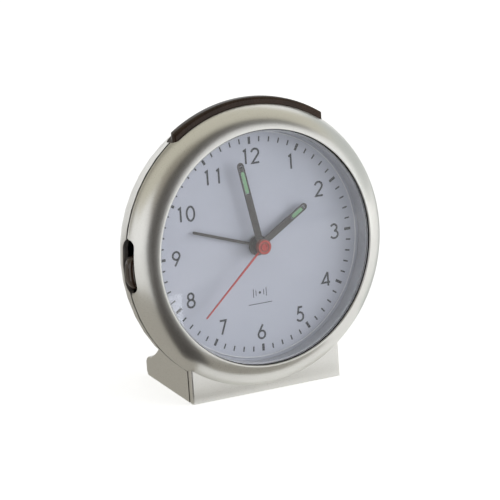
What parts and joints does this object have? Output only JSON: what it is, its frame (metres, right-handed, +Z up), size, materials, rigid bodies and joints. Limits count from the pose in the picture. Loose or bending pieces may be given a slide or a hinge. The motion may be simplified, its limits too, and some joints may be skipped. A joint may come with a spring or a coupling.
{
  "type": "radio-controlled alarm clock",
  "caption": "Round free-standing alarm clock that leans back on a block foot, with domed case ring, clear lens, hands, snooze bar, side slider and battery door.",
  "frame": {"origin": "centre of the foot's flat underside", "axes": "+X to the right of someone facing the dial, +Y away from them, out of the clock's back, +Z up"},
  "size_m": [0.1001, 0.0411, 0.1023],
  "materials": {
    "silver_lacquer": "moulded plastic with silver lacquer, satin gloss",
    "clear_plastic": "clear moulded plastic, polished",
    "dial_print": "matt pale blue-grey with darker grey printing",
    "umber_plastic": "moulded dark brown, semi-gloss",
    "hand_lacquer": "matt dark grey lacquer",
    "red_lacquer": "soft red lacquer",
    "glow_paint": "pale green afterglow compound",
    "natural_plastic": "unpainted off-white acetal, satin",
    "brass": "cut brass",
    "plated_steel": "bright zinc or nickel plate",
    "copper_wire": "enamelled copper winding",
    "ferrite": "pressed ferrite, dull dark grey",
    "circuit_board": "green solder mask",
    "battery_sleeve": "plain printed film sleeve"
  },
  "bodies": {
    "case": {"front_case": "silver_lacquer", "rear_case": "silver_lacquer", "lens": "clear_plastic", "dial_plate": "dial_print", "minute_stator": "plated_steel", "second_stator": "plated_steel", "minute_coil": "copper_wire", "second_coil": "copper_wire", "movement_base": "natural_plastic", "movement_cover": "natural_plastic", "circuit_board": "circuit_board", "receive_switch": "umber_plastic", "set_switch": "umber_plastic", "snooze_switch": "umber_plastic", "receiver_chip": "umber_plastic", "quartz_crystal": "plated_steel", "alarm_switch": "umber_plastic", "battery": "battery_sleeve", "battery_spring": "plated_steel", "battery_plate": "plated_steel", "ferrite_rod": "ferrite", "aerial_coil": "copper_wire", "buzzer": "umber_plastic", "case_screw_1": "plated_steel", "case_screw_2": "plated_steel", "case_screw_3": "plated_steel", "case_screw_4": "plated_steel", "dial_screw_1": "plated_steel", "dial_screw_2": "plated_steel", "dial_screw_3": "plated_steel", "dial_screw_4": "plated_steel", "movement_screw_1": "plated_steel", "movement_screw_2": "plated_steel", "board_screw_1": "plated_steel", "board_screw_2": "plated_steel"},
    "second": {"second_hand": "red_lacquer", "second_wheel": "brass"},
    "second_stage": {"second_stage_wheel": "natural_plastic"},
    "second_rotor": {"second_rotor": "plated_steel"},
    "minute": {"minute_hand": "hand_lacquer", "minute_inlay": "glow_paint", "minute_wheel": "brass"},
    "minute_stage": {"minute_stage_wheel": "natural_plastic"},
    "minute_rotor": {"minute_rotor": "plated_steel"},
    "motion": {"motion_wheel": "natural_plastic"},
    "hour": {"hour_hand": "hand_lacquer", "hour_inlay": "glow_paint", "hour_wheel": "natural_plastic"},
    "alarm": {"alarm_hand": "hand_lacquer", "alarm_wheel": "natural_plastic"},
    "alarm_setting": {"alarm_set_shaft": "natural_plastic", "alarm_knob": "umber_plastic"},
    "snooze": {"snooze_bar": "umber_plastic"},
    "alarm_slide": {"alarm_slider": "umber_plastic", "alarm_switch_lever": "natural_plastic"},
    "receive_key": {"receive_button": "umber_plastic"},
    "set_key": {"set_button": "umber_plastic"},
    "door": {"battery_door": "silver_lacquer"}
  },
  "joints": [
    {"name": "minute_turn", "type": "hinge", "parent": "case", "child": "minute", "pos_m": [0, -0.00855, 0.0511], "axis": [0, 0.9903, -0.1392], "continuous": true},
    {"name": "minute_stage_turn", "type": "hinge", "parent": "case", "child": "minute_stage", "pos_m": [-0.0091, 0.00245, 0.04956], "axis": [0, 0.9903, -0.1392], "continuous": true},
    {"name": "minute_rotor_turn", "type": "hinge", "parent": "case", "child": "minute_rotor", "pos_m": [-0.01655, 0.00245, 0.04956], "axis": [0, 0.9903, -0.1392], "continuous": true},
    {"name": "motion_turn", "type": "hinge", "parent": "case", "child": "motion", "pos_m": [0, -0.00031, 0.06014], "axis": [0, 0.9903, -0.1392], "continuous": true},
    {"name": "hour_turn", "type": "hinge", "parent": "case", "child": "hour", "pos_m": [0, -0.00855, 0.0511], "axis": [0, 0.9903, -0.1392], "continuous": true},
    {"name": "second_turn", "type": "hinge", "parent": "case", "child": "second", "pos_m": [0, -0.00855, 0.0511], "axis": [0, 0.9903, -0.1392], "continuous": true},
    {"name": "second_stage_turn", "type": "hinge", "parent": "case", "child": "second_stage", "pos_m": [0.0091, 0.00245, 0.04956], "axis": [0, 0.9903, -0.1392], "continuous": true},
    {"name": "second_rotor_turn", "type": "hinge", "parent": "case", "child": "second_rotor", "pos_m": [0.01655, 0.00245, 0.04956], "axis": [0, 0.9903, -0.1392], "continuous": true},
    {"name": "alarm_setting_turn", "type": "hinge", "parent": "case", "child": "alarm_setting", "pos_m": [0.00785, 0.00957, 0.04063], "axis": [0, 0.9903, -0.1392], "continuous": true},
    {"name": "alarm_turn", "type": "hinge", "parent": "case", "child": "alarm", "pos_m": [0, -0.00855, 0.0511], "axis": [0, 0.9903, -0.1392], "continuous": true},
    {"name": "snooze_press", "type": "slide", "parent": "case", "child": "snooze", "axis": [0, -0.1392, -0.9903], "range_m": [0, 0.001], "stiffness_N_per_m": 1500, "springref_m": -0.0002},
    {"name": "alarm_slide_up", "type": "slide", "parent": "case", "child": "alarm_slide", "axis": [0, 0.1392, 0.9903], "range_m": [0, 0.0026]},
    {"name": "receive_press", "type": "slide", "parent": "case", "child": "receive_key", "axis": [0, -0.9903, 0.1392], "range_m": [0, 0.0006], "stiffness_N_per_m": 2000, "springref_m": -0.0001},
    {"name": "set_press", "type": "slide", "parent": "case", "child": "set_key", "axis": [0, -0.9903, 0.1392], "range_m": [0, 0.0006], "stiffness_N_per_m": 2000, "springref_m": -0.0001},
    {"name": "door_lift", "type": "slide", "parent": "case", "child": "door", "axis": [0, 0.9903, -0.1392], "range_m": [0, 0.015]}
  ],
  "couplings": [
    {"joint": "minute_stage_turn", "follows": "minute_turn", "ratio": -5},
    {"joint": "minute_rotor_turn", "follows": "minute_turn", "ratio": 30},
    {"joint": "motion_turn", "follows": "minute_turn", "ratio": -0.33333},
    {"joint": "hour_turn", "follows": "minute_turn", "ratio": 0.083333},
    {"joint": "second_stage_turn", "follows": "second_turn", "ratio": -5},
    {"joint": "second_rotor_turn", "follows": "second_turn", "ratio": 30},
    {"joint": "alarm_turn", "follows": "alarm_setting_turn", "ratio": -0.375}
  ]
}
